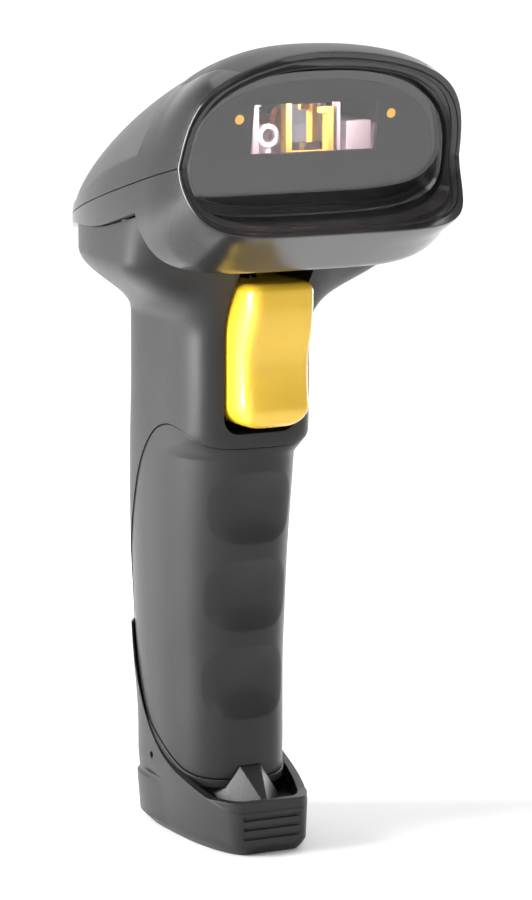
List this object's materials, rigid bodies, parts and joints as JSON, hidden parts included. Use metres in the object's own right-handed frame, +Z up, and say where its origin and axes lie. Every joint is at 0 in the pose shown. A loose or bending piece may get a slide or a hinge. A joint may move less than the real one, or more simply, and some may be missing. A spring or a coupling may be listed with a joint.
{
  "type": "handheld barcode scanner",
  "caption": "Cordless pistol-grip barcode scanner: tilted smoked window in a hooded head, sprung yellow trigger, finger-scalloped handle and a charging foot with a keel and a ribbed nose.",
  "frame": {"origin": "on the underside of the foot, in the plane of symmetry, below the axis of the handle", "axes": "+Z up along the handle, the scan window faces -Y, +X to the right seen from the front"},
  "size_m": [0.0678, 0.0941, 0.1757],
  "materials": {
    "shell_grey": "satin moulded ABS",
    "panel_grey": "satin inset panel",
    "panel_black": "dark satin panel",
    "housing_dark": "fine spark-eroded texture",
    "bezel_black": "polished black",
    "gasket_rubber": "matt seal",
    "window_smoke": "smoked polycarbonate",
    "mask_black": "printed mask",
    "lamp_amber": "diffusing lamp",
    "trigger_yellow": "polished yellow ABS",
    "pin_steel": "ground",
    "spring_steel": "drawn wire",
    "switch_black": "moulded",
    "plunger_white": "moulded",
    "grip_smooth": "smooth satin",
    "contact_gold": "gold flash",
    "contact_nickel": "nickel strip",
    "battery_wrap": "shrink wrap",
    "board_green": "solder mask",
    "chip_black": "epoxy",
    "shield_tin": "tinned",
    "connector_cream": "moulded nylon",
    "ribbon_amber": "polyimide film",
    "lamp_white": "diffusing lamp",
    "pipe_clear": "clear acrylic",
    "engine_grey": "die cast, painted",
    "bracket_yellow": "moulded bracket",
    "laser_brass": "turned",
    "mirror_silver": "front silvered",
    "magnet_grey": "nickel plated",
    "coil_copper": "enamelled wire",
    "filter_red": "dyed filter",
    "screw_steel": "zinc plated"
  },
  "bodies": {
    "root": {"upper_shell": "shell_grey", "rear_panel": "panel_grey", "roof_panel": "panel_black", "lower_shell": "shell_grey", "handle_shell": "housing_dark", "front_bezel": "bezel_black", "window_gasket": "gasket_rubber", "window": "window_smoke", "window_mask": "mask_black", "aiming_leds": "lamp_amber", "trigger_pin": "pin_steel", "trigger_spring": "spring_steel", "trigger_switch": "switch_black", "grip_insert": "grip_smooth", "foot": "housing_dark", "base_plate": "housing_dark", "charging_jack": "switch_black", "jack_contacts": "contact_gold", "battery_cell": "battery_wrap", "battery_contacts": "contact_nickel", "main_board": "board_green", "interface_board": "board_green", "processor_chip": "chip_black", "radio_shield": "shield_tin", "board_connector": "connector_cream", "ribbon_cable": "ribbon_amber", "beeper": "chip_black", "status_led": "lamp_white", "light_pipe": "pipe_clear", "engine_chassis": "engine_grey", "engine_bracket": "bracket_yellow", "laser_module": "laser_brass", "laser_lens": "pipe_clear", "mirror_pin": "pin_steel", "drive_coil": "coil_copper", "collecting_mirror": "mirror_silver", "photodiode": "chip_black", "signal_filter": "filter_red", "head_screws": "screw_steel", "engine_screws": "screw_steel", "foot_screw": "screw_steel"},
    "trigger": {"trigger": "trigger_yellow"},
    "plunger": {"switch_plunger": "plunger_white"},
    "mirror": {"scan_mirror": "mirror_silver", "mirror_magnet": "magnet_grey"}
  },
  "joints": [
    {"name": "trigger_pull", "type": "hinge", "parent": "root", "child": "trigger", "pos_m": [0, -0.0205, 0.121], "axis": [1, 0, 0], "range_deg": [0, 5], "stiffness_Nm_per_rad": 0.6, "springref_deg": -9.74},
    {"name": "switch_press", "type": "slide", "parent": "root", "child": "plunger", "axis": [0, 1, 0], "range_m": [0, 0.0017]},
    {"name": "mirror_sweep", "type": "hinge", "parent": "root", "child": "mirror", "pos_m": [0.004, -0.036, 0.1585], "axis": [0, 0, 1], "range_deg": [-13.5, 13.5], "stiffness_Nm_per_rad": 0.01}
  ],
  "couplings": [
    {"joint": "switch_press", "follows": "trigger_pull", "m_per_rad": 0.01948}
  ]
}
